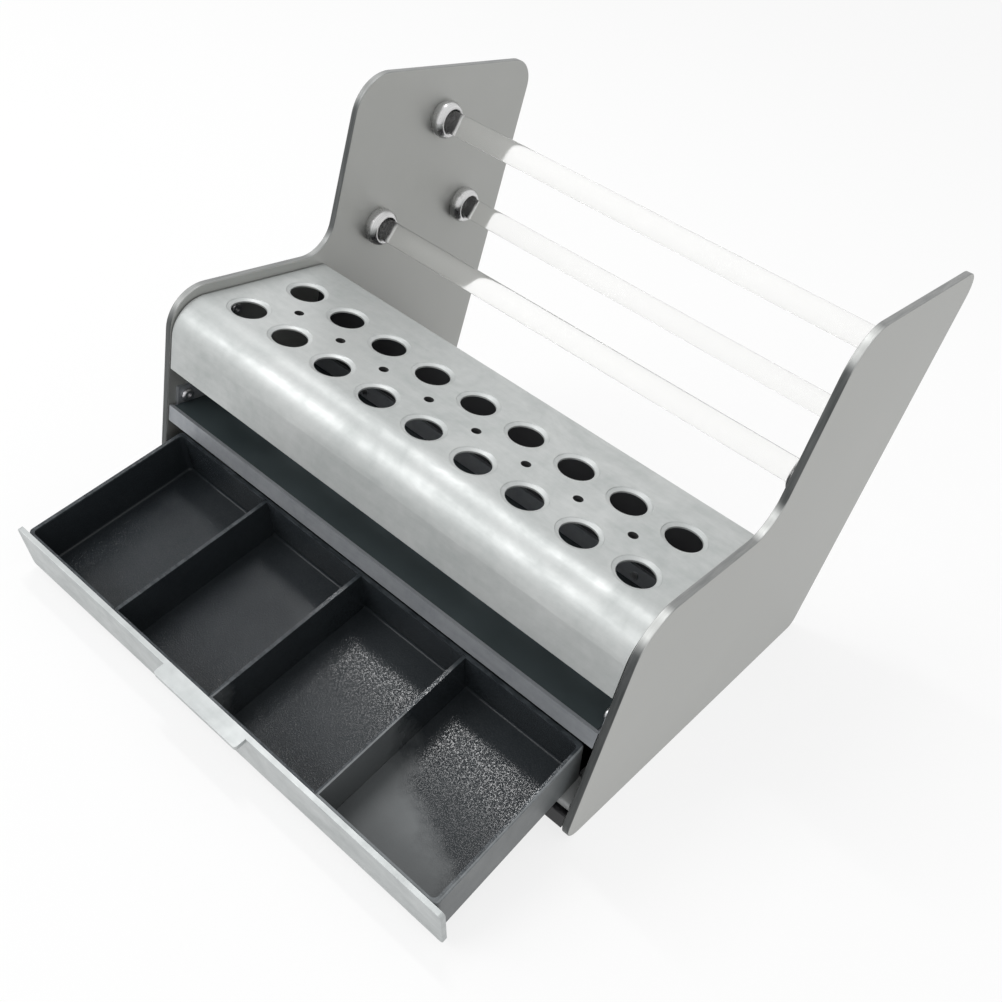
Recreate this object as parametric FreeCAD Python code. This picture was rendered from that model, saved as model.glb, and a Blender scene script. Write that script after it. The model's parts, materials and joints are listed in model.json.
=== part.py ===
import FreeCAD, Part
import math
import os

os.makedirs("parts", exist_ok=True)

Vec = FreeCAD.Vector
X_AXIS = Vec(1, 0, 0)
Z_AXIS = Vec(0, 0, 1)

# Overall sizes, in millimetres
inner_width = 226.0
panel_thickness = 3.0
panel_height = 184.5
box_height = 108.2
box_depth = 80.2
tower_depth_at_foot = 184.8
tower_front_lean = 5.4
tower_back_lean = 4.4

# Corner radii of the side panels
foot_front_radius = 9.5
foot_back_radius = 5.0
box_corner_radius = 17.0
tower_foot_radius = 15.0
tower_front_radius = 18.0
tower_back_radius = 12.0

# Rounding of handled edges
panel_edge_radius = 0.4
sheet_edge_radius = 0.3
rim_radius = 0.4

# Sheet metal
hood_sheet = 1.5
light_sheet = 1.5
fit_gap = 0.5
seat_gap = 0.15

# Tool hood
hood_top = 104.0
hood_skirt_foot = 74.0
hood_front = 0.5
hood_bend_radius = 15.0
hood_rear_bend_radius = 3.0
hood_rear_flange = 12.0

# Tool holes in the hood
hole_columns = 9
hole_pitch = 24.0
front_row = 23.7
back_row = 54.0
tool_hole_diameter = 14.0
dimple_diameter = 17.6
dimple_depth = 1.0
dimple_step = 0.3
dimple_land = 0.3
small_hole_diameter = 3.8

# Brackets that hang the hood between the side panels
bracket_leg = 8.0
bracket_drop = 14.0
bracket_length = 40.0
bracket_start = 22.0

# Tool shelf below the hood, and the mat on it
shelf_top = 55.9
shelf_lip = 6.6
shelf_rear_flange = 8.0
shelf_front = 0.6
mat_thickness = 0.8
mat_inset = 1.4
shelf_tab_rise = 8.6
shelf_tab_length = 26.0
shelf_tab_start = 4.0

# Rear wall of the box
wall_inner_face = 77.0

# Base plate
base_top = 13.0
base_lip = 6.6
base_front = 0.5
base_back = 180.0
base_rear_lip = 12.0
base_tab_drop = 7.5
base_tab_length = 40.0
base_tab_start = 18.0

# Hanging rods and their sockets
rod_diameter = 10.0
rod_places = {"upper": (140.2, 162.3), "rear": (164.4, 118.3), "front": (108.5, 116.8)}
socket_reach = 6.2
socket_barrel_radius = 8.4
socket_foot_radius = 7.6
socket_mouth_radius = 5.9
socket_floor = 1.2
socket_mouth_depth = 0.8
spigot_radius = 3.0
spigot_length = 2.0

# Drawer tray, in its shut and level place
tray_side_gap = 4.4
tray_height = 22.0
tray_wall = 1.8
tray_front_wall = 1.0
tray_floor = 2.0
tray_corner_radius = 2.0
compartments = 4
divider_thickness = 1.5
divider_gap = 0.1
divider_groove = 0.6
front_groove = 0.4
divider_below_rim = 0.4

# Drawer front with its pull tab
front_plate_thickness = 2.0
front_plate_height = 22.0
front_plate_above_rim = 0.4
front_plate_side_gap = 0.5
front_plate_shut_face = 0.3
front_plate_corner_radius = 1.5
pull_width = 44.0
pull_reach = 4.6
pull_thickness = 2.0
pull_corner_radius = 3.0

# Travel of the drawer, and its droop when it is pulled out
shut_gap = 0.4
drawer_travel = 62.5
tray_droop = 17.0

# Rocking glide shoes at the mouth, and the runners behind them
shoe_axis = (4.2, 16.6)
shoe_width = 6.0
shoe_side_gap = 0.3
shoe_boss_radius = 3.0
shoe_pad_height = 4.4
shoe_pad_thickness = 2.0
shoe_pad_front = 3.2
shoe_pad_back = 8.0
glide_gap = 0.3
shoe_pin_radius = 1.3
shoe_pin_play = 0.08
shoe_pin_head_radius = 2.1
shoe_pin_head = 0.8
runner_width = 6.4
runner_start = 14.5
runner_end = 72.0
runner_drop = 0.4
runner_screw_seat = 3.0

# Screws and bumpers
screw_radius = 1.5
screw_bite = 2.0
front_screw_bite = 1.4
screw_head_radius = 2.8
screw_head = 1.7
screw_socket_radius = 1.1
screw_socket_depth = 0.9
bumper_radius = 5.0
bumper_thickness = 1.5
bumper_height = 32.0

half_width = inner_width / 2


# Outlines in the side view, as (y, z) points

def side_point(x, place):
    return Vec(x, place[0], place[1])


def corner_arc(before, corner, after, radius):
    toward_before = (before - corner).normalize()
    toward_after = (after - corner).normalize()
    half_angle = toward_before.getAngle(toward_after) / 2
    reach = radius / math.tan(half_angle)
    start = corner + toward_before * reach
    end = corner + toward_after * reach
    middle_way = (toward_before + toward_after).normalize()
    centre = corner + middle_way * (radius / math.sin(half_angle))
    middle = centre - middle_way * radius
    return start, middle, end


def rounded_face(corners):
    points = [Vec(*place) for place, radius in corners]
    count = len(points)
    edges = []
    joints = []
    for index, (place, radius) in enumerate(corners):
        if radius > 0:
            before = points[index - 1]
            after = points[(index + 1) % count]
            joints.append(corner_arc(before, points[index], after, radius))
        else:
            joints.append((points[index], None, points[index]))
    for index, (start, middle, end) in enumerate(joints):
        if middle is not None:
            edges.append(Part.Arc(start, middle, end).toShape())
        following = joints[(index + 1) % count][0]
        if (following - end).Length > 1e-6:
            edges.append(Part.LineSegment(end, following).toShape())
    return Part.Face(Part.Wire(edges))


def side_profile(corners, x_start, width):
    placed = [((x_start, y, z), radius) for y, z, radius in corners]
    return rounded_face(placed).extrude(Vec(width, 0, 0))


def offset_path(path, distance):
    shifted = []
    last = len(path) - 1
    for index, (y, z) in enumerate(path):
        normals = []
        for first, second in ((index - 1, index), (index, index + 1)):
            if first >= 0 and second <= last:
                run_y = path[second][0] - path[first][0]
                run_z = path[second][1] - path[first][1]
                length = math.hypot(run_y, run_z)
                normals.append((run_z / length, -run_y / length))
        normal_y = sum(n[0] for n in normals) / len(normals)
        normal_z = sum(n[1] for n in normals) / len(normals)
        scale = distance / (normal_y ** 2 + normal_z ** 2)
        shifted.append((y + normal_y * scale, z + normal_z * scale))
    return shifted


def folded_sheet(path, radii, thickness, x_start, width):
    inner = offset_path(path, thickness)
    outer_corners = [(y, z, r) for (y, z), r in zip(path, radii)]
    inner_radii = [max(r - thickness, 0.0) for r in radii]
    inner_corners = [(y, z, r) for (y, z), r in zip(inner, inner_radii)]
    return side_profile(outer_corners + inner_corners[::-1], x_start, width)


def box(x_range, y_range, z_range):
    size = [high - low for low, high in (x_range, y_range, z_range)]
    return Part.makeBox(*size, Vec(x_range[0], y_range[0], z_range[0]))


def along_x(radius, x_start, x_end, place):
    direction = Vec(1 if x_end > x_start else -1, 0, 0)
    return Part.makeCylinder(radius, abs(x_end - x_start), side_point(x_start, place), direction)


def mirrored(shape):
    return shape.mirror(Vec(0, 0, 0), X_AXIS)


# Side panels

def tower_front_at(height):
    foot = box_depth + 0.2
    return foot + (height - box_height) * math.tan(math.radians(tower_front_lean))


def tower_back_at(height):
    return tower_depth_at_foot + height * math.tan(math.radians(tower_back_lean))


def panel_blank():
    corners = [
        (0.0, 0.0, foot_front_radius),
        (0.0, box_height, box_corner_radius),
        (tower_front_at(box_height), box_height, tower_foot_radius),
        (tower_front_at(panel_height), panel_height, tower_front_radius),
        (tower_back_at(panel_height), panel_height, tower_back_radius),
        (tower_back_at(0.0), 0.0, foot_back_radius),
    ]
    blank = side_profile(corners, half_width, panel_thickness)
    faces_x = (half_width, half_width + panel_thickness)
    outline = [e for e in blank.Edges
               if any(abs(e.BoundBox.XMin - x) < 1e-6 and abs(e.BoundBox.XMax - x) < 1e-6
                      for x in faces_x)]
    return blank.makeFillet(panel_edge_radius, outline)


def right_panel():
    panel = panel_blank()
    for place in rod_places.values():
        panel = panel.cut(along_x(spigot_radius + seat_gap, half_width,
                                  half_width + spigot_length + seat_gap, place))
    for place in hood_screw_places + shelf_screw_places + base_screw_places + runner_screw_places:
        panel = panel.cut(along_x(screw_radius, half_width, half_width + screw_bite, place))
    return panel.cut(along_x(shoe_pin_radius, half_width, half_width + screw_bite, shoe_axis))


# Hood with its tool holes

def row_columns(count):
    first = -hole_pitch * (count - 1) / 2
    return [first + hole_pitch * index for index in range(count)]


def dimpled_hole(x, y):
    bore = tool_hole_diameter / 2
    rim = dimple_diameter / 2
    land = bore + dimple_land
    outline = [Vec(rim, 0, hood_sheet), Vec(rim, 0, 0), Vec(rim - dimple_step, 0, -dimple_step),
               Vec(land, 0, dimple_step - dimple_depth)]
    below = [Vec(bore, 0, -dimple_depth), Vec(bore, 0, -2 * hood_sheet),
             Vec(0, 0, -2 * hood_sheet), Vec(0, 0, hood_sheet), outline[0]]
    lip_bulge = Vec(bore + dimple_land * 0.3, 0, dimple_step * 0.7 - dimple_depth)
    edges = [Part.LineSegment(a, b).toShape() for a, b in zip(outline, outline[1:])]
    edges.append(Part.Arc(outline[-1], lip_bulge, below[0]).toShape())
    edges += [Part.LineSegment(a, b).toShape() for a, b in zip(below, below[1:])]
    cutter = Part.Face(Part.Wire(edges)).revolve(Vec(0, 0, 0), Z_AXIS, 360)
    cutter.translate(Vec(x, y, hood_top))
    return cutter


def top_hood():
    path = [(hood_front, hood_skirt_foot), (hood_front, hood_top),
            (box_depth, hood_top), (box_depth, hood_top - hood_rear_flange)]
    radii = [0.0, hood_bend_radius, hood_rear_bend_radius, 0.0]
    hood = folded_sheet(path, radii, hood_sheet, fit_gap - half_width, inner_width - 2 * fit_gap)
    skirt_edges = [e for e in hood.Edges
                   if e.BoundBox.ZMax < hood_skirt_foot + 1e-6 and e.BoundBox.XLength > inner_width / 2]
    hood = hood.makeFillet(sheet_edge_radius, skirt_edges)
    for y in (front_row, back_row):
        for x in row_columns(hole_columns):
            hood = hood.cut(dimpled_hole(x, y))
    middle_row = (front_row + back_row) / 2
    for x in row_columns(hole_columns - 1):
        drill = Part.makeCylinder(small_hole_diameter / 2, 3 * hood_sheet,
                                  Vec(x, middle_row, hood_top - 2 * hood_sheet))
        hood = hood.cut(drill)
    return hood


def right_hood_bracket():
    leg_top = hood_top - hood_sheet
    y_range = (bracket_start, bracket_start + bracket_length)
    upright = box((half_width - light_sheet, half_width), y_range,
                  (leg_top - bracket_drop, leg_top))
    ledge = box((half_width - bracket_leg, half_width), y_range,
                (leg_top - light_sheet, leg_top))
    bracket = upright.fuse(ledge).removeSplitter()
    for place in hood_screw_places:
        bracket = bracket.cut(along_x(screw_radius + seat_gap, half_width - 2 * light_sheet,
                                      half_width, place))
    return bracket


# Shelf, mat, rear wall and base plate

def tab_pair(places, top, drop, length):
    right = None
    for start in places:
        tab = box((half_width - light_sheet, half_width), (start, start + length),
                  (top - drop, top))
        right = tab if right is None else right.fuse(tab)
    return right.fuse(mirrored(right))


def drilled_both_sides(shape, places):
    for place in places:
        drill = along_x(screw_radius + seat_gap, half_width - 2 * light_sheet, half_width, place)
        shape = shape.cut(drill).cut(mirrored(drill))
    return shape


def tool_shelf():
    under = shelf_top - light_sheet
    x_range = (fit_gap - half_width, half_width - fit_gap)
    lip_back = shelf_front + light_sheet
    wall = wall_inner_face
    lip = box(x_range, (shelf_front, lip_back), (shelf_top - shelf_lip, shelf_top + mat_thickness))
    deck = box(x_range, (shelf_front, wall), (under, shelf_top))
    flange = box(x_range, (wall - light_sheet, wall), (under, shelf_top + shelf_rear_flange))
    tab_root = box((-half_width, half_width),
                   (shelf_tab_start, shelf_tab_start + shelf_tab_length), (under, shelf_top))
    tabs = tab_pair([shelf_tab_start], shelf_top + shelf_tab_rise, shelf_tab_rise,
                    shelf_tab_length)
    shelf = lip.fuse([deck, flange, tab_root, tabs]).removeSplitter()
    for x in wall_screw_columns:
        shelf = shelf.cut(wall_drill(x, shelf_flange_row, screw_radius))
    return drilled_both_sides(shelf, shelf_screw_places)


def shelf_mat():
    return box((fit_gap - half_width + mat_inset, half_width - fit_gap - mat_inset),
               (shelf_front + light_sheet, wall_inner_face - light_sheet - seat_gap),
               (shelf_top, shelf_top + mat_thickness))


def wall_drill(x, z, radius):
    return Part.makeCylinder(radius, 6 * light_sheet,
                             Vec(x, wall_inner_face - 2 * light_sheet, z), Vec(0, 1, 0))


def back_wall():
    wall = box((fit_gap - half_width, half_width - fit_gap),
               (wall_inner_face, wall_inner_face + light_sheet),
               (base_top, hood_top - hood_rear_bend_radius))
    for x in wall_screw_columns:
        wall = wall.cut(wall_drill(x, shelf_flange_row, screw_radius + seat_gap))
        wall = wall.cut(wall_drill(x, base_screw_row, screw_radius))
    return wall


def base_plate():
    width = inner_width - 2 * fit_gap
    path = [(base_front, base_top - base_lip), (base_front, base_top), (base_back, base_top),
            (base_back, base_top - light_sheet), (base_front + light_sheet, base_top - light_sheet),
            (base_front + light_sheet, base_top - base_lip)]
    radii = [0.0, 1.0, 0.0, 0.0, 0.0, 0.0]
    corners = [(y, z, r) for (y, z), r in zip(path, radii)]
    deck = side_profile(corners, -width / 2, width)
    rear_lip = box((-width / 2, width / 2), (base_back - light_sheet, base_back),
                   (base_top - light_sheet, base_top + base_rear_lip))
    stiffener = box((-width / 2, width / 2),
                    (wall_inner_face + light_sheet, wall_inner_face + 2 * light_sheet),
                    (base_top - light_sheet, base_top + base_rear_lip))
    tabs = tab_pair(base_tab_starts, base_top - light_sheet / 2, base_tab_drop,
                    base_tab_length)
    plate = deck.fuse(rear_lip).fuse(stiffener).fuse(tabs)
    for start in base_tab_starts:
        plate = plate.fuse(box((-half_width, half_width), (start, start + base_tab_length),
                               (base_top - light_sheet, base_top)))
    plate = drilled_both_sides(plate.removeSplitter(), base_screw_places)
    for x in wall_screw_columns:
        plate = plate.cut(wall_drill(x, base_screw_row, screw_radius + seat_gap))
    return plate


# Rods and sockets

def right_socket(place):
    bore = rod_diameter / 2 + seat_gap
    widest = socket_reach * 0.42
    foot = Vec(0, socket_foot_radius, 0)
    swell = Vec(widest, socket_barrel_radius, 0)
    lip = Vec(socket_reach, socket_mouth_radius + 0.5, 0)
    shoulder_in = Vec(widest * 0.45, socket_barrel_radius - 0.22, 0)
    shoulder_out = Vec(socket_reach - 0.9, socket_barrel_radius - 0.95, 0)
    outline = [Vec(-spigot_length, 0, 0), Vec(-spigot_length, spigot_radius, 0),
               Vec(0, spigot_radius, 0), foot]
    edges = [Part.LineSegment(a, b).toShape() for a, b in zip(outline, outline[1:])]
    edges.append(Part.Arc(foot, shoulder_in, swell).toShape())
    edges.append(Part.Arc(swell, shoulder_out, lip).toShape())
    inside = [lip, Vec(socket_reach, socket_mouth_radius, 0),
              Vec(socket_reach - socket_mouth_depth, bore, 0), Vec(socket_floor, bore, 0),
              Vec(socket_floor, 0, 0), Vec(-spigot_length, 0, 0)]
    edges += [Part.LineSegment(a, b).toShape() for a, b in zip(inside, inside[1:])]
    socket = Part.Face(Part.Wire(edges)).revolve(Vec(0, 0, 0), X_AXIS, 360)
    socket = mirrored(socket)
    socket.translate(side_point(half_width, place))
    return socket


def hanging_rod(place):
    end = half_width - socket_floor - seat_gap
    rod = along_x(rod_diameter / 2, -end, end, place)
    return rod.makeChamfer(0.5, [e for e in rod.Edges if isinstance(e.Curve, Part.Circle)])


# Screws

def pan_screw(place, tab_thickness, bite=screw_bite):
    seat = half_width - tab_thickness
    shank = along_x(screw_radius, seat, half_width + bite, place)
    head = along_x(screw_head_radius, seat, seat - screw_head, place)
    rim = [e for e in head.Edges if isinstance(e.Curve, Part.Circle)
           and abs(e.CenterOfMass.x - (seat - screw_head)) < 0.01]
    head = head.makeFillet(screw_head * 0.6, rim)
    recess = along_x(screw_socket_radius, seat - screw_head, seat - screw_head + screw_socket_depth,
                     place)
    return shank.fuse(head).removeSplitter().cut(recess)


def both_sides(shapes):
    return Part.makeCompound(shapes + [mirrored(shape) for shape in shapes])


def side_screws(places):
    return both_sides([pan_screw(place, light_sheet) for place in places])


def wall_screw(x, z, seat):
    screw = pan_screw((0.0, 0.0), light_sheet)
    screw.translate(Vec(light_sheet - half_width, 0, 0))
    screw.rotate(Vec(0, 0, 0), Z_AXIS, -90)
    screw.translate(Vec(x, seat, z))
    return screw


def back_wall_screws():
    outer = wall_inner_face + light_sheet
    screws = []
    for x in wall_screw_columns:
        screws.append(wall_screw(x, shelf_flange_row, outer))
        screws.append(wall_screw(x, base_screw_row, outer + light_sheet))
    return Part.makeCompound(screws)


def drawer_bumpers():
    discs = []
    for x in wall_screw_columns:
        disc = Part.makeCylinder(bumper_radius, bumper_thickness,
                                 Vec(x, wall_inner_face - bumper_thickness, bumper_height),
                                 Vec(0, 1, 0))
        rim = [e for e in disc.Edges if isinstance(e.Curve, Part.Circle)
               and e.CenterOfMass.y < wall_inner_face - bumper_thickness / 2]
        discs.append(disc.makeFillet(0.6, rim))
    return Part.makeCompound(discs)


# Runners, glide shoes and their pins

def right_runner():
    inner = half_width - runner_width
    bar = box((inner, half_width), (runner_start, runner_end),
              (base_top, shut_tray_foot - runner_drop))
    ends = [e for e in bar.Edges
            if abs(e.Vertexes[0].Y - e.Vertexes[-1].Y) < 1e-6
            and abs(e.Vertexes[0].Z - e.Vertexes[-1].Z) < 1e-6
            and e.BoundBox.ZMin > base_top + 1]
    bar = bar.makeFillet(1.2, ends)
    for place in runner_screw_places:
        bar = bar.cut(along_x(screw_radius + seat_gap, inner, half_width, place))
        bar = bar.cut(along_x(screw_head_radius + fit_gap, inner, half_width - runner_screw_seat,
                              place))
    return bar


def right_glide_shoe():
    outer = half_width - shoe_side_gap
    y, z = shoe_axis
    pad = box((outer - shoe_width, outer), (y - shoe_pad_front, y + shoe_pad_back),
              (z + shoe_pad_height - shoe_pad_thickness, z + shoe_pad_height))
    boss = along_x(shoe_boss_radius, outer - shoe_width, outer, shoe_axis)
    neck = box((outer - shoe_width, outer), (y - shoe_boss_radius, y + shoe_boss_radius),
               (z, z + shoe_pad_height - shoe_pad_thickness / 2))
    shoe = pad.fuse(boss).fuse(neck).removeSplitter()
    tips = [e for e in shoe.Edges
            if abs(e.Vertexes[0].Y - e.Vertexes[-1].Y) < 1e-6
            and abs(e.Vertexes[0].Z - e.Vertexes[-1].Z) < 1e-6
            and abs(e.BoundBox.Center.z - z - shoe_pad_height) < 0.01]
    shoe = shoe.makeFillet(0.6, tips)
    return shoe.cut(along_x(shoe_pin_radius + shoe_pin_play, outer - 2 * shoe_width,
                            half_width, shoe_axis))


def right_shoe_pin():
    seat = half_width - shoe_side_gap - shoe_width - shoe_side_gap
    shank = along_x(shoe_pin_radius, seat, half_width + screw_bite, shoe_axis)
    head = along_x(shoe_pin_head_radius, seat, seat - shoe_pin_head, shoe_axis)
    rim = [e for e in head.Edges if isinstance(e.Curve, Part.Circle)
           and abs(e.CenterOfMass.x - (seat - shoe_pin_head)) < 0.01]
    return shank.fuse(head.makeFillet(0.35, rim)).removeSplitter()


# Drawer, drawn shut and level

def rounded_box(x_range, y_range, z_range, radius):
    block = box(x_range, y_range, z_range)
    upright = [e for e in block.Edges
               if abs(e.Vertexes[0].X - e.Vertexes[-1].X) < 1e-6
               and abs(e.Vertexes[0].Y - e.Vertexes[-1].Y) < 1e-6]
    return block.makeFillet(radius, upright)


def divider_columns():
    spacing = (tray_outer_width - tray_wall) / compartments
    return [(index - compartments / 2) * spacing for index in range(1, compartments)]


def drawer_tray():
    half = tray_outer_width / 2
    rim = shut_tray_foot + tray_height
    tray = rounded_box((-half, half), (tray_front, tray_rear), (shut_tray_foot, rim),
                       tray_corner_radius)
    outer_loops = [e for e in tray.Edges
                   if e.BoundBox.ZLength < 1e-6 and e.BoundBox.YMax > tray_front + 1e-3]
    tray = tray.makeFillet(rim_radius, outer_loops)
    cavity = rounded_box((-half + tray_wall, half - tray_wall),
                         (tray_front + tray_front_wall, tray_rear - tray_wall),
                         (shut_tray_foot + tray_floor, rim + tray_height), tray_corner_radius)
    floor_edges = [e for e in cavity.Edges
                   if abs(e.BoundBox.ZMax - shut_tray_foot - tray_floor) < 1e-6]
    tray = tray.cut(cavity.makeFillet(1.0, floor_edges))
    for x in divider_columns():
        reach = divider_thickness / 2 + divider_gap
        groove = box((x - reach, x + reach),
                     (tray_front + tray_front_wall - front_groove,
                      tray_rear - tray_wall + divider_groove),
                     (shut_tray_foot + tray_floor - divider_groove / 2, rim + 1))
        tray = tray.cut(groove)
    for x in front_screw_columns:
        tray = tray.cut(Part.makeCylinder(screw_radius + seat_gap, 3 * tray_front_wall,
                                          Vec(x, tray_front - tray_front_wall, front_screw_row),
                                          Vec(0, 1, 0)))
    return tray


def drawer_divider(x):
    return box((x - divider_thickness / 2, x + divider_thickness / 2),
               (tray_front + tray_front_wall - front_groove + divider_gap,
                tray_rear - tray_wall + divider_groove - divider_gap),
               (shut_tray_foot + tray_floor - divider_groove / 2,
                shut_tray_foot + tray_height - divider_below_rim))


def drawer_front():
    half = half_width - front_plate_side_gap
    top = shut_tray_foot + tray_height + front_plate_above_rim
    back = front_plate_shut_face + front_plate_thickness
    plate = box((-half, half), (front_plate_shut_face, back), (top - front_plate_height, top))
    ends = [e for e in plate.Edges
            if abs(e.Vertexes[0].X - e.Vertexes[-1].X) < 1e-6
            and abs(e.Vertexes[0].Z - e.Vertexes[-1].Z) < 1e-6]
    plate = plate.makeFillet(front_plate_corner_radius, ends)
    front_outline = [e for e in plate.Edges if e.BoundBox.YMax < front_plate_shut_face + 1e-6]
    plate = plate.makeFillet(sheet_edge_radius, front_outline)
    tab_face = front_plate_shut_face - pull_reach
    tab = rounded_box((-pull_width / 2, pull_width / 2), (tab_face, back - 1.0),
                      (top - pull_thickness, top), pull_corner_radius * 0.4)
    front = plate.fuse(tab).removeSplitter()
    for x in front_screw_columns:
        front = front.cut(Part.makeCylinder(screw_radius, front_screw_bite,
                                            Vec(x, back - front_screw_bite, front_screw_row),
                                            Vec(0, 1, 0)))
    return front


def drawer_front_screws():
    screws = []
    for x in front_screw_columns:
        screws_seat = tray_front + tray_front_wall
        screw = pan_screw((0.0, 0.0), tray_front_wall, front_screw_bite)
        screw.translate(Vec(tray_front_wall - half_width, 0, 0))
        screw.rotate(Vec(0, 0, 0), Z_AXIS, -90)
        screw.translate(Vec(x, screws_seat, front_screw_row))
        screws.append(screw)
    return Part.makeCompound(screws)


def drooped(shape):
    shape.rotate(side_point(0, shoe_axis), X_AXIS, tray_droop)
    return shape


def pulled_out(shape):
    shape.translate(Vec(0, -drawer_travel, 0))
    return drooped(shape)


# Places worked out from the sizes above

tray_outer_width = inner_width - 2 * tray_side_gap
tray_front = front_plate_shut_face + front_plate_thickness
tray_rear = wall_inner_face - bumper_thickness - shut_gap
shut_tray_foot = shoe_axis[1] + shoe_pad_height + glide_gap

bracket_screw_row = hood_top - hood_sheet - bracket_drop / 2 - light_sheet / 2
hood_screw_places = [(bracket_start + bracket_length * share, bracket_screw_row)
                     for share in (0.2, 0.8)]
shelf_screw_row = shelf_top + shelf_tab_rise / 2
shelf_screw_places = [(shelf_tab_start + shelf_tab_length * share, shelf_screw_row)
                      for share in (0.16, 0.84)]
base_tab_starts = [base_tab_start, base_back - base_tab_start - base_tab_length]
base_tab_screw_row = base_top - light_sheet - (base_tab_drop - light_sheet / 2) / 2
base_screw_places = [(start + base_tab_length * share, base_tab_screw_row)
                     for start in base_tab_starts for share in (0.2, 0.8)]
base_screw_row = base_top + base_rear_lip / 2
shelf_flange_row = shelf_top + shelf_rear_flange / 2
wall_screw_columns = [-inner_width / 3, inner_width / 3]
runner_screw_row = (base_top + shut_tray_foot - runner_drop) / 2
runner_screw_places = [(runner_start + (runner_end - runner_start) * share, runner_screw_row)
                       for share in (0.2, 0.8)]

column_step = (tray_outer_width - tray_wall) / compartments
front_screw_columns = [(index - (compartments - 1) / 2) * column_step
                       for index in range(compartments)]
front_screw_row = shut_tray_foot + tray_height / 2


def fixed_parts():
    panel = right_panel()
    bracket = right_hood_bracket()
    runner = right_runner()
    pin = right_shoe_pin()
    nodes = {
        "right_side_panel": panel,
        "left_side_panel": mirrored(panel),
        "top_hood": top_hood(),
        "right_hood_bracket": bracket,
        "left_hood_bracket": mirrored(bracket),
        "tool_shelf": tool_shelf(),
        "shelf_mat": shelf_mat(),
        "back_wall": back_wall(),
        "base_plate": base_plate(),
        "right_drawer_runner": runner,
        "left_drawer_runner": mirrored(runner),
        "right_shoe_pin": pin,
        "left_shoe_pin": mirrored(pin),
        "hood_screws": side_screws(hood_screw_places),
        "shelf_screws": side_screws(shelf_screw_places),
        "base_screws": side_screws(base_screw_places),
        "runner_screws": both_sides([pan_screw(place, runner_screw_seat)
                                     for place in runner_screw_places]),
        "back_wall_screws": back_wall_screws(),
        "drawer_bumpers": drawer_bumpers(),
    }
    for name, place in rod_places.items():
        nodes[name + "_rod"] = hanging_rod(place)
        socket = right_socket(place)
        nodes["right_" + name + "_socket"] = socket
        nodes["left_" + name + "_socket"] = mirrored(socket)
    return nodes


def moving_parts():
    nodes = {
        "drawer_tray": drawer_tray(),
        "drawer_front": drawer_front(),
        "drawer_front_screws": drawer_front_screws(),
    }
    for number, x in enumerate(divider_columns(), start=1):
        nodes["drawer_divider_" + str(number)] = drawer_divider(x)
    moved = {name: pulled_out(shape) for name, shape in nodes.items()}
    shoe = drooped(right_glide_shoe())
    moved["right_glide_shoe"] = shoe
    moved["left_glide_shoe"] = mirrored(shoe)
    return moved


def write_parts():
    nodes = fixed_parts()
    nodes.update(moving_parts())
    whole = FreeCAD.BoundBox()
    for shape in nodes.values():
        whole.add(shape.optimalBoundingBox(False, False))
    to_origin = Vec(-whole.Center.x, -whole.Center.y, -whole.ZMin)
    for name, shape in nodes.items():
        shape.translate(to_origin)
        shape.exportStep("parts/" + name + ".step")
        kind = "valid" if shape.isValid() else "NOT VALID"
        print(name, len(shape.Solids), kind, round(shape.Volume, 1))
    print("size", round(whole.XLength, 2), round(whole.YLength, 2), round(whole.ZLength, 2))
    print("shift", round(to_origin.x, 3), round(to_origin.y, 3), round(to_origin.z, 3))
    axis = side_point(0, shoe_axis) + to_origin
    print("shoe axis", round(axis.y, 3), round(axis.z, 3))


write_parts()
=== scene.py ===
import bpy
import bmesh
import json
import math
from mathutils import Matrix, Vector


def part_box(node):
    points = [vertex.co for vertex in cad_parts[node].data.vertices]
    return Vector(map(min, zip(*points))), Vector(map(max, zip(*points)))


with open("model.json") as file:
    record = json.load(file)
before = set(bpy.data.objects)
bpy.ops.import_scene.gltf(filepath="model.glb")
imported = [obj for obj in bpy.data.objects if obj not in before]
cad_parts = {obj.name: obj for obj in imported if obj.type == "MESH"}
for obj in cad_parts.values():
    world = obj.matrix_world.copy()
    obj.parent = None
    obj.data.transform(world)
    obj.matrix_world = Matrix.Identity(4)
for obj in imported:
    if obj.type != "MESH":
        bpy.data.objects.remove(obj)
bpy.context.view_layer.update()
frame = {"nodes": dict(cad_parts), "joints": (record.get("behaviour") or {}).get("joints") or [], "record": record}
nodes = frame["nodes"]

# Places on the rack, in metres

MM = 0.001
slide = next(joint for joint in frame["joints"] if joint["type"] == "slide")
hinge = next(joint for joint in frame["joints"] if joint["type"] == "hinge")
droop = math.atan2(slide["axis"][2], slide["axis"][1])


def along_drawer(y, z):
    """Distance along the floor of the drooping drawer."""
    return y * math.cos(droop) + z * math.sin(droop)


def above_drawer(y, z):
    """Distance square to the floor of the drooping drawer."""
    return z * math.cos(droop) - y * math.sin(droop)


front_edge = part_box("left_side_panel")[0][1]
shoe_y, shoe_z = hinge["pos_m"][1], hinge["pos_m"][2]
hole_pitch = 24 * MM
pitches_to_last_hole = 4
small_hole_row = front_edge + 38.85 * MM
small_hole_radius = 2.0 * MM
socket_bore_radius = 5.5 * MM
compartment_step = 53.9 * MM
tray_rim = above_drawer(shoe_y, shoe_z) + 26.7 * MM
# Edge of the smooth front patch of the tray's floor, whose colour is lightened as a painted reflection.
sheen_patch_edge = along_drawer(shoe_y, shoe_z) - 64 * MM
sheen_patch_slant = 0.62
sheen_patch_step = 38 * MM
sheen_patch_wander = 6 * MM


# Nodes that the materials share

def new_material(name):
    material = bpy.data.materials.new(name)
    material.use_nodes = True
    tree = material.node_tree
    shader = tree.nodes["Principled BSDF"]
    return material, tree, shader


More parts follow.
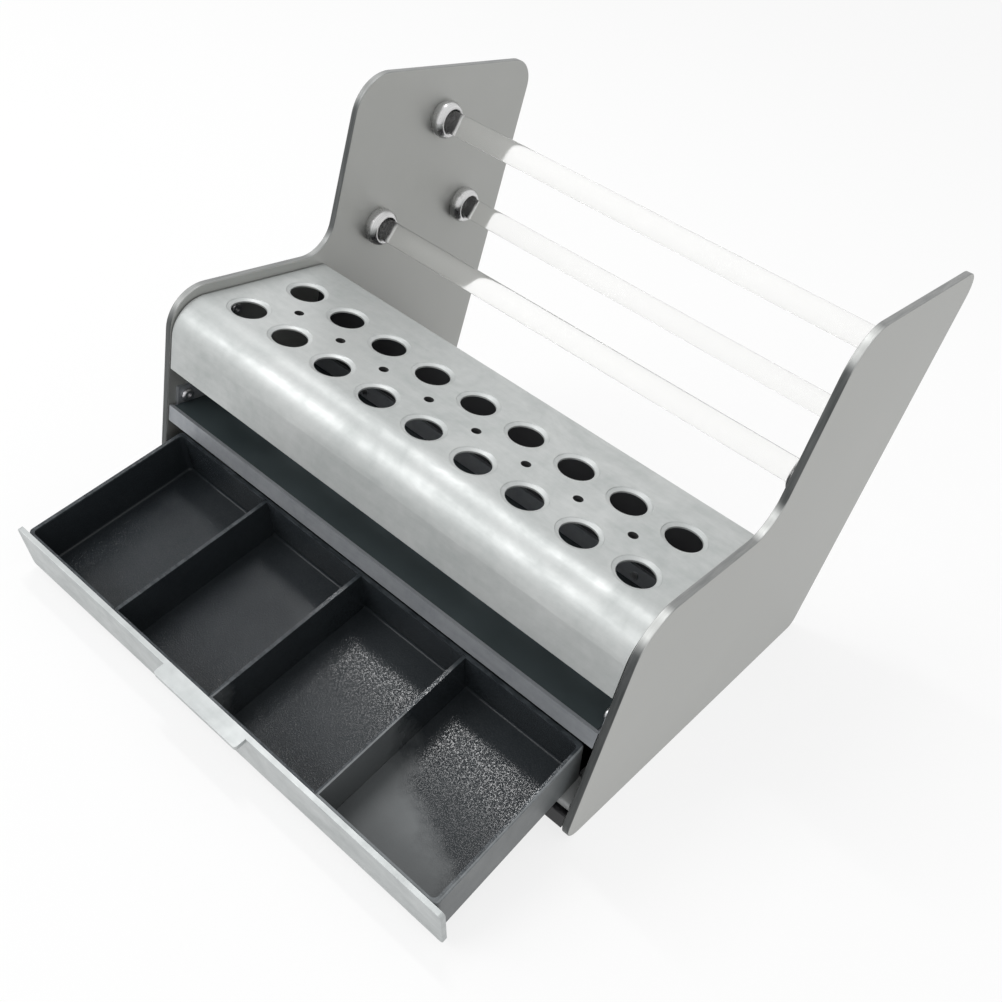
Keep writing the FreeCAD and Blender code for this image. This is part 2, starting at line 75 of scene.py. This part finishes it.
def object_pattern(tree, scale=(1, 1, 1), turn=(0.0, 0.0, 0.0)):
    place = tree.nodes.new("ShaderNodeTexCoord")
    mapping = tree.nodes.new("ShaderNodeMapping")
    mapping.inputs["Scale"].default_value = scale
    mapping.inputs["Rotation"].default_value = turn
    tree.links.new(place.outputs["Object"], mapping.inputs["Vector"])
    return mapping.outputs["Vector"]


def along_axes(tree, vector):
    parts = tree.nodes.new("ShaderNodeSeparateXYZ")
    tree.links.new(vector, parts.inputs["Vector"])
    return parts.outputs["X"], parts.outputs["Y"], parts.outputs["Z"]


def noise(tree, vector, scale, detail=3.0, roughness=0.5, distortion=0.0):
    node = tree.nodes.new("ShaderNodeTexNoise")
    node.inputs["Scale"].default_value = scale
    node.inputs["Detail"].default_value = detail
    node.inputs["Roughness"].default_value = roughness
    node.inputs["Distortion"].default_value = distortion
    tree.links.new(vector, node.inputs["Vector"])
    return node.outputs["Fac"]


def spread(tree, value, low, high, from_low=0.3, from_high=0.7):
    """Take the range from_low to from_high to the range low to high, and clamp it there."""
    node = tree.nodes.new("ShaderNodeMapRange")
    node.inputs["From Min"].default_value = from_low
    node.inputs["From Max"].default_value = from_high
    node.inputs["To Min"].default_value = low
    node.inputs["To Max"].default_value = high
    tree.links.new(value, node.inputs["Value"])
    return node.outputs["Result"]


def joined(tree, operation, first, second=0.0):
    """Apply a Math operation to two values, each a socket or a number."""
    node = tree.nodes.new("ShaderNodeMath")
    node.operation = operation
    for place, value in enumerate((first, second)):
        if isinstance(value, (int, float)):
            node.inputs[place].default_value = value
        else:
            tree.links.new(value, node.inputs[place])
    return node.outputs["Value"]


def weighed(tree, *parts):
    """Add values, each times its weight."""
    total = None
    for value, weight in parts:
        share = joined(tree, "MULTIPLY", value, weight)
        total = share if total is None else joined(tree, "ADD", total, share)
    return total


def tint(tree, factor, dark, light):
    node = tree.nodes.new("ShaderNodeMix")
    node.data_type = "RGBA"
    node.inputs["A"].default_value = (*dark, 1.0)
    node.inputs["B"].default_value = (*light, 1.0)
    tree.links.new(factor, node.inputs["Factor"])
    return node.outputs["Result"]


def mixed(tree, factor, first, second, kind="RGBA"):
    node = tree.nodes.new("ShaderNodeMix")
    node.data_type = kind
    tree.links.new(factor, node.inputs["Factor"])
    tree.links.new(first, node.inputs["A"])
    tree.links.new(second, node.inputs["B"])
    return node.outputs["Result"]


def added(tree, first, second):
    node = tree.nodes.new("ShaderNodeMix")
    node.data_type = "RGBA"
    node.blend_type = "ADD"
    node.inputs["Factor"].default_value = 1.0
    tree.links.new(first, node.inputs["A"])
    tree.links.new(second, node.inputs["B"])
    return node.outputs["Result"]


def bumped(tree, shader, *heights):
    """Chain one Bump node for each height, given as value, strength and distance."""
    previous = None
    for value, strength, distance in heights:
        node = tree.nodes.new("ShaderNodeBump")
        node.inputs["Strength"].default_value = strength
        node.inputs["Distance"].default_value = distance
        tree.links.new(value, node.inputs["Height"])
        if previous is not None:
            tree.links.new(previous, node.inputs["Normal"])
        previous = node.outputs["Normal"]
    tree.links.new(previous, shader.inputs["Normal"])


# Sheet metal of the hood, the shelf and the drawer's front

def small_hole_shade_mask(tree):
    """1 in the walls of the hood's row of small holes, which get painted shade, and 0 elsewhere."""
    place = tree.nodes.new("ShaderNodeTexCoord")
    x, y, _ = along_axes(tree, place.outputs["Object"])
    half_pitch = hole_pitch / 2
    column = joined(tree, "PINGPONG", joined(tree, "ADD", x, half_pitch), half_pitch)
    row = joined(tree, "SUBTRACT", y, small_hole_row)
    squares = joined(tree, "ADD", joined(tree, "MULTIPLY", column, column),
                     joined(tree, "MULTIPLY", row, row))
    away = joined(tree, "SQRT", squares)
    in_hole = spread(tree, away, 1.0, 0.0, small_hole_radius - 0.07 * MM, small_hole_radius)
    has_holes = joined(tree, "LESS_THAN", joined(tree, "ABSOLUTE", x),
                       pitches_to_last_hole * hole_pitch)
    return joined(tree, "MULTIPLY", in_hole, has_holes)


def rolled_sheet(name, dark, light, gloss, metal, shade_small_holes=False):
    material, tree, shader = new_material(name)
    shader.inputs["Metallic"].default_value = metal
    plain = object_pattern(tree)
    along_sheet = object_pattern(tree, scale=(45.0, 420.0, 420.0))
    patches = noise(tree, plain, 26.0, detail=5.0, roughness=0.62, distortion=1.2)
    specks = noise(tree, plain, 210.0, detail=4.0, roughness=0.6)
    blast = noise(tree, plain, 2400.0, detail=2.0, roughness=0.6)
    drawn = noise(tree, along_sheet, 1.0, detail=4.0, roughness=0.6)
    cloudy = weighed(tree, (patches, 0.55), (specks, 0.25), (drawn, 0.20))
    sheet = tint(tree, spread(tree, cloudy, 0.0, 1.0, 0.36, 0.64), dark, light)
    if shade_small_holes:
        # Painted shade on the walls of the small holes.
        hole_shade = tint(tree, cloudy, (0.05, 0.05, 0.05), (0.09, 0.09, 0.09))
        sheet = mixed(tree, small_hole_shade_mask(tree), sheet, hole_shade)
    tree.links.new(sheet, shader.inputs["Base Color"])
    tree.links.new(spread(tree, cloudy, gloss + 0.07, gloss - 0.07, 0.36, 0.64),
                   shader.inputs["Roughness"])
    bumped(tree, shader, (patches, 0.18, 0.6 * MM), (blast, 0.15, 0.06 * MM))
    return material


# Plate of the side panels and brackets

def panel_edge(tree, normal):
    """Colour of a panel's cut edge: painted shade on the front-facing cut, painted light on the upward-facing cut
    and a painted highlight at the front-top corners, stronger to the right.
    """
    _, facing_y, facing_z = along_axes(tree, normal)
    along_cut = object_pattern(tree, scale=(900.0, 60.0, 60.0))
    drawn = spread(tree, noise(tree, along_cut, 1.0, detail=3.0, roughness=0.6), 0.0, 1.0)
    # Painted shade on the front-facing cut and painted light on the upward-facing cut.
    shaded_front_cut = tint(tree, drawn, (0.06, 0.065, 0.065), (0.11, 0.115, 0.115))
    lit_top_cut = tint(tree, drawn, (0.19, 0.195, 0.195), (0.28, 0.285, 0.28))
    # Painted highlight for the front-top corners of the cut edge.
    painted_highlight = tint(tree, drawn, (0.42, 0.43, 0.42), (0.54, 0.55, 0.54))
    shaded_or_lit_cut = mixed(tree, spread(tree, facing_z, 0.0, 1.0, 0.2, 0.8), shaded_front_cut, lit_top_cut)

    forward = spread(tree, facing_y, 1.0, 0.0, -0.97, -0.80)
    leaning = spread(tree, facing_y, 1.0, 0.0, -0.35, -0.12)
    upward = spread(tree, facing_z, 0.0, 1.0, 0.1, 0.3)
    highlight_corner = joined(tree, "MULTIPLY", joined(tree, "SUBTRACT", leaning, forward), upward)
    x, _, _ = along_axes(tree, object_pattern(tree))
    # The painted highlight is stronger towards the right.
    highlight_more_at_right = spread(tree, x, 0.25, 1.0, 0.0, 50 * MM)
    return mixed(tree, joined(tree, "MULTIPLY", highlight_corner, highlight_more_at_right), shaded_or_lit_cut, painted_highlight)


def panel_aluminium(name):
    material, tree, shader = new_material(name)
    shader.inputs["Metallic"].default_value = 0.6
    plain = object_pattern(tree)
    clouds = noise(tree, plain, 16.0, detail=4.0, roughness=0.55)
    blast = noise(tree, plain, 2600.0, detail=2.0, roughness=0.6)
    face = tint(tree, spread(tree, clouds, 0.0, 1.0), (0.40, 0.405, 0.39), (0.45, 0.455, 0.44))
    normal = tree.nodes.new("ShaderNodeTexCoord").outputs["Normal"]
    facing_x, _, _ = along_axes(tree, normal)
    on_face = spread(tree, joined(tree, "ABSOLUTE", facing_x), 0.0, 1.0, 0.6, 0.95)
    tree.links.new(mixed(tree, on_face, panel_edge(tree, normal), face),
                   shader.inputs["Base Color"])
    tree.links.new(spread(tree, clouds, 0.40, 0.50), shader.inputs["Roughness"])
    bumped(tree, shader, (blast, 0.12, 0.06 * MM))
    return material


# Moulded tray

def smooth_sheen_patch_mask(tree, x, y, wander):
    """1 in the smoother front part of the tray's floor, whose base colour is lightened as a painted reflection;
    the patch is largest in the compartment at the right and not there at the left."""
    across = joined(tree, "FLOORED_MODULO", x, compartment_step)
    column = joined(tree, "FLOOR", joined(tree, "DIVIDE", x, compartment_step))
    edge = joined(tree, "ADD", y, spread(tree, wander, -sheen_patch_wander, sheen_patch_wander))
    edge = joined(tree, "ADD", edge, joined(tree, "MULTIPLY", across, sheen_patch_slant))
    edge = joined(tree, "SUBTRACT", edge, joined(tree, "MULTIPLY", column, sheen_patch_step))
    return spread(tree, edge, 1.0, 0.0, sheen_patch_edge - 6 * MM, sheen_patch_edge + 7 * MM)


def moulded_black(name):
    material, tree, shader = new_material(name)
    shader.inputs["Specular IOR Level"].default_value = 0.24
    drawer_x, drawer_y, drawer_z = along_axes(tree, object_pattern(tree, turn=(-droop, 0.0, 0.0)))
    plain = object_pattern(tree)
    along_rim = object_pattern(tree, scale=(160, 420, 420))
    peel = noise(tree, plain, 1800.0, detail=3.0, roughness=0.7)
    clouds = noise(tree, plain, 30.0, detail=4.0, roughness=0.6)
    wander = noise(tree, plain, 70.0, detail=4.0, roughness=0.55)
    rim_streaks = noise(tree, along_rim, 1.0, detail=3.0, roughness=0.7)

    mottle = spread(tree, weighed(tree, (clouds, 0.5), (peel, 0.5)), 0.0, 1.0, 0.36, 0.64)
    body = tint(tree, mottle, (0.0155, 0.0195, 0.023), (0.027, 0.032, 0.036))
    # Painted highlight: the top of the tray's rim is lightened, broken up by streaky noise.
    at_rim = spread(tree, drawer_z, 0.0, 1.0, tray_rim - 0.9 * MM, tray_rim - 0.2 * MM)
    rim_highlight = joined(tree, "MULTIPLY", at_rim, spread(tree, rim_streaks, 0.25, 1.0, 0.4, 0.62))
    painted_highlight = tint(tree, rim_highlight, (0.0, 0.0, 0.0), (0.04, 0.044, 0.048))
    # Painted reflection: the smooth front patch of the floor gets a lighter base colour, and it is also less
    # rough.
    smooth_sheen_patch = smooth_sheen_patch_mask(tree, drawer_x, drawer_y, wander)
    painted_sheen = tint(tree, smooth_sheen_patch, (0.0, 0.0, 0.0), (0.105, 0.11, 0.11))
    tree.links.new(added(tree, added(tree, body, painted_highlight), painted_sheen), shader.inputs["Base Color"])

    grain_gloss = spread(tree, clouds, 0.13, 0.18)
    patch_gloss = spread(tree, wander, 0.34, 0.44)
    tree.links.new(mixed(tree, smooth_sheen_patch, grain_gloss, patch_gloss, kind="FLOAT"),
                   shader.inputs["Roughness"])
    grains = joined(tree, "MULTIPLY", spread(tree, peel, 0.0, 1.0, 0.46, 0.72),
                    spread(tree, smooth_sheen_patch, 1.0, 0.12, 0.0, 1.0))
    bumped(tree, shader, (grains, 1.0, 0.044 * MM))
    return material


# Smaller pieces

def smooth_black(name, dark, light, gloss):
    """Vinyl, paint or rubber."""
    material, tree, shader = new_material(name)
    plain = object_pattern(tree)
    clouds = noise(tree, plain, 35.0, detail=4.0, roughness=0.6)
    dust = noise(tree, plain, 900.0, detail=3.0, roughness=0.6)
    tree.links.new(tint(tree, spread(tree, clouds, 0.0, 1.0), dark, light),
                   shader.inputs["Base Color"])
    tree.links.new(spread(tree, clouds, gloss - 0.04, gloss + 0.08), shader.inputs["Roughness"])
    bumped(tree, shader, (dust, 0.12, 0.05 * MM))
    return material


def clear_acrylic(name):
    """The low IOR keeps the dark base from showing as a line across the rods."""
    material, tree, shader = new_material(name)
    shader.inputs["Transmission Weight"].default_value = 0.95
    shader.inputs["IOR"].default_value = 1.08
    shader.inputs["Base Color"].default_value = (0.985, 0.985, 0.975, 1.0)
    along_rod = object_pattern(tree, scale=(12.0, 300.0, 300.0))
    streaks = noise(tree, along_rod, 1.0, detail=3.0, roughness=0.5)
    tree.links.new(spread(tree, streaks, 0.12, 0.26), shader.inputs["Roughness"])
    bumped(tree, shader, (streaks, 0.05, 0.04 * MM))
    return material


def turned_metal(name, dark, light, gloss):
    material, tree, shader = new_material(name)
    shader.inputs["Metallic"].default_value = 1.0
    round_piece = object_pattern(tree, scale=(2600.0, 40.0, 40.0))
    rings = noise(tree, round_piece, 1.0, detail=3.0, roughness=0.6)
    clouds = noise(tree, object_pattern(tree), 260.0, detail=3.0, roughness=0.5)
    tree.links.new(tint(tree, spread(tree, rings, 0.0, 1.0), dark, light),
                   shader.inputs["Base Color"])
    tree.links.new(spread(tree, clouds, gloss - 0.05, gloss + 0.1), shader.inputs["Roughness"])
    bumped(tree, shader, (rings, 0.12, 0.05 * MM))
    return material


def socket_finish(node):
    """Bright turned metal with painted shade in the bore round this socket's own axis."""
    material = turned_metal(node + "_metal", (0.50, 0.50, 0.50), (0.72, 0.72, 0.72), 0.26)
    tree = material.node_tree
    shader = tree.nodes["Principled BSDF"]
    low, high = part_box(node)
    centre = tree.nodes.new("ShaderNodeMapping")
    centre.inputs["Location"].default_value = (0.0, -(low[1] + high[1]) / 2,
                                               -(low[2] + high[2]) / 2)
    centre.inputs["Scale"].default_value = (0.0, 1.0, 1.0)
    place = tree.nodes.new("ShaderNodeTexCoord")
    tree.links.new(place.outputs["Object"], centre.inputs["Vector"])
    reach = tree.nodes.new("ShaderNodeVectorMath")
    reach.operation = "LENGTH"
    tree.links.new(centre.outputs["Vector"], reach.inputs[0])
    outside = spread(tree, reach.outputs["Value"], 0.0, 1.0,
                     socket_bore_radius - 0.2 * MM, socket_bore_radius + 0.2 * MM)
    metal = shader.inputs["Base Color"].links[0].from_socket
    # Painted shade in the bore, mottled by noise.
    bore_shade_mottle = noise(tree, object_pattern(tree), 900.0, detail=3.0, roughness=0.6)
    bore_shade = tint(tree, spread(tree, bore_shade_mottle, 0.0, 1.0), (0.10, 0.10, 0.105), (0.20, 0.20, 0.205))
    tree.links.new(mixed(tree, outside, bore_shade, metal), shader.inputs["Base Color"])
    return material


def pale_nylon(name):
    material, tree, shader = new_material(name)
    plain = object_pattern(tree)
    clouds = noise(tree, plain, 120.0, detail=3.0, roughness=0.6)
    fine = noise(tree, plain, 2400.0, detail=2.0, roughness=0.5)
    tree.links.new(tint(tree, spread(tree, clouds, 0.0, 1.0),
                        (0.36, 0.37, 0.37), (0.46, 0.47, 0.47)),
                   shader.inputs["Base Color"])
    tree.links.new(spread(tree, clouds, 0.42, 0.55), shader.inputs["Roughness"])
    bumped(tree, shader, (fine, 0.15, 0.06 * MM))
    return material


# Finish of every piece

panel_metal = panel_aluminium("panel_metal")
finish_of_slot = {
    "panels": panel_metal,
    "brackets": panel_metal,
    "hood": rolled_sheet("hood_metal", (0.405, 0.425, 0.42), (0.53, 0.545, 0.54),
                         gloss=0.45, metal=0.5, shade_small_holes=True),
    "drawer_front": rolled_sheet("front_metal", (0.39, 0.41, 0.41), (0.51, 0.53, 0.53),
                                 gloss=0.46, metal=0.6),
    "shelf": rolled_sheet("shelf_metal", (0.24, 0.255, 0.275), (0.36, 0.375, 0.395),
                          gloss=0.42, metal=0.5),
    "liner": smooth_black("liner_vinyl", (0.026, 0.037, 0.040), (0.040, 0.054, 0.058),
                          gloss=0.42),
    "dark_sheet": smooth_black("dark_paint", (0.015, 0.015, 0.017), (0.03, 0.03, 0.033),
                               gloss=0.4),
    "bumpers": smooth_black("bumper_rubber", (0.02, 0.02, 0.02), (0.035, 0.035, 0.035),
                            gloss=0.7),
    "tray": moulded_black("tray_plastic"),
    "clear_rods": clear_acrylic("rod_acrylic"),
    "screws": turned_metal("screw_steel", (0.45, 0.45, 0.46), (0.6, 0.6, 0.61), gloss=0.3),
    "glides": pale_nylon("glide_nylon"),
}

for subpart in frame["record"]["subparts"]:
    piece = nodes[subpart["node"]]
    if subpart["material_slot"] == "sockets":
        finish = socket_finish(subpart["node"])
    else:
        finish = finish_of_slot[subpart["material_slot"]]
    if not piece.material_slots:
        piece.data.materials.append(finish)
    for place in piece.material_slots:
        place.material = finish


# Floor, world, lamps and camera

def sees_white(tree):
    """1 for what is seen straight, mirrored or through the rods, 0 for light on the rack."""
    path = tree.nodes.new("ShaderNodeLightPath")
    straight = joined(tree, "MAXIMUM", path.outputs["Is Camera Ray"],
                      path.outputs["Is Transmission Ray"])
    return joined(tree, "MAXIMUM", straight, path.outputs["Is Glossy Ray"])


def blended(tree, factor, first, second):
    blend = tree.nodes.new("ShaderNodeMixShader")
    tree.links.new(factor, blend.inputs["Fac"])
    tree.links.new(first, blend.inputs[1])
    tree.links.new(second, blend.inputs[2])
    return blend.outputs["Shader"]


def pale_floor(half_side=6.0, whitened=0.8):
    """A matt floor that keeps the rack's shadow and is whitened where it is seen."""
    bm = bmesh.new()
    bmesh.ops.create_grid(bm, x_segments=1, y_segments=1, size=half_side)
    mesh = bpy.data.meshes.new("floor")
    bm.to_mesh(mesh)
    bm.free()
    floor = bpy.data.objects.new("floor", mesh)
    bpy.context.scene.collection.objects.link(floor)
    material = bpy.data.materials.new("floor_white")
    material.use_nodes = True
    tree = material.node_tree
    tree.nodes.remove(tree.nodes["Principled BSDF"])
    matt = tree.nodes.new("ShaderNodeBsdfDiffuse")
    matt.inputs["Color"].default_value = (0.86, 0.86, 0.86, 1)
    glow = tree.nodes.new("ShaderNodeEmission")
    glow.inputs["Color"].default_value = (1, 1, 1, 1)
    glow.inputs["Strength"].default_value = 1.0
    share = joined(tree, "MULTIPLY", sees_white(tree), whitened)
    surface = blended(tree, share, matt.outputs["BSDF"], glow.outputs["Emission"])
    tree.links.new(surface, tree.nodes["Material Output"].inputs["Surface"])
    mesh.materials.append(material)


def plain_world(light=0.78):
    world = bpy.data.worlds.new("studio")
    bpy.context.scene.world = world
    world.use_nodes = True
    tree = world.node_tree
    soft = tree.nodes["Background"]
    soft.inputs["Color"].default_value = (1, 1, 1, 1)
    soft.inputs["Strength"].default_value = light
    white = tree.nodes.new("ShaderNodeBackground")
    white.inputs["Color"].default_value = (1, 1, 1, 1)
    white.inputs["Strength"].default_value = 1.0
    surface = blended(tree, sees_white(tree),
                      soft.outputs["Background"], white.outputs["Background"])
    tree.links.new(surface, tree.nodes["World Output"].inputs["Surface"])


def soft_lamp(name, place, target, size, watts):
    lamp = bpy.data.lights.new(name, "AREA")
    lamp.shape = "RECTANGLE"
    lamp.size, lamp.size_y = size
    lamp.energy = watts
    holder = bpy.data.objects.new(name, lamp)
    holder.location = place
    aim = Vector(target) - Vector(place)
    holder.rotation_euler = aim.to_track_quat("-Z", "Y").to_euler()
    bpy.context.scene.collection.objects.link(holder)


def photo_camera():
    """Camera solved from the rack's edges and hole centres, with its lens in pixels."""
    photo_side = 1002
    focal_pixels = 1085.05
    optical_centre = (534.16, 507.49)
    sensor_width = 36.0
    place = Vector((198.9 * MM, front_edge - 238.96 * MM, 317.70 * MM))
    forward = Vector((-0.3953722, 0.70989054, -0.58286898)).normalized()
    right = Vector((0.75823933, 0.6104011, 0.22909302))
    right = (right - forward * right.dot(forward)).normalized()
    up = right.cross(forward)
    lens = bpy.data.cameras.new("camera")
    lens.sensor_width = sensor_width
    lens.lens = focal_pixels * sensor_width / photo_side
    lens.shift_x = -(optical_centre[0] - photo_side / 2) / photo_side
    lens.shift_y = (optical_centre[1] - photo_side / 2) / photo_side
    lens.clip_start = 0.01
    camera = bpy.data.objects.new("camera", lens)
    turn = Matrix((right, up, -forward)).transposed().to_4x4()
    camera.matrix_world = Matrix.Translation(place) @ turn
    bpy.context.scene.collection.objects.link(camera)
    bpy.context.scene.camera = camera


pale_floor()
plain_world()
soft_lamp("ceiling_strip", place=(-0.45, 0.025, 1.36), target=(0.03, -0.03, 0.02),
          size=(0.05, 0.5), watts=4.4)
soft_lamp("window_lamp", place=(-0.9, -1.45, 1.1), target=(0, -0.06, 0.1),
          size=(1.3, 0.55), watts=13)
photo_camera()
bpy.context.scene.view_settings.view_transform = "Standard"
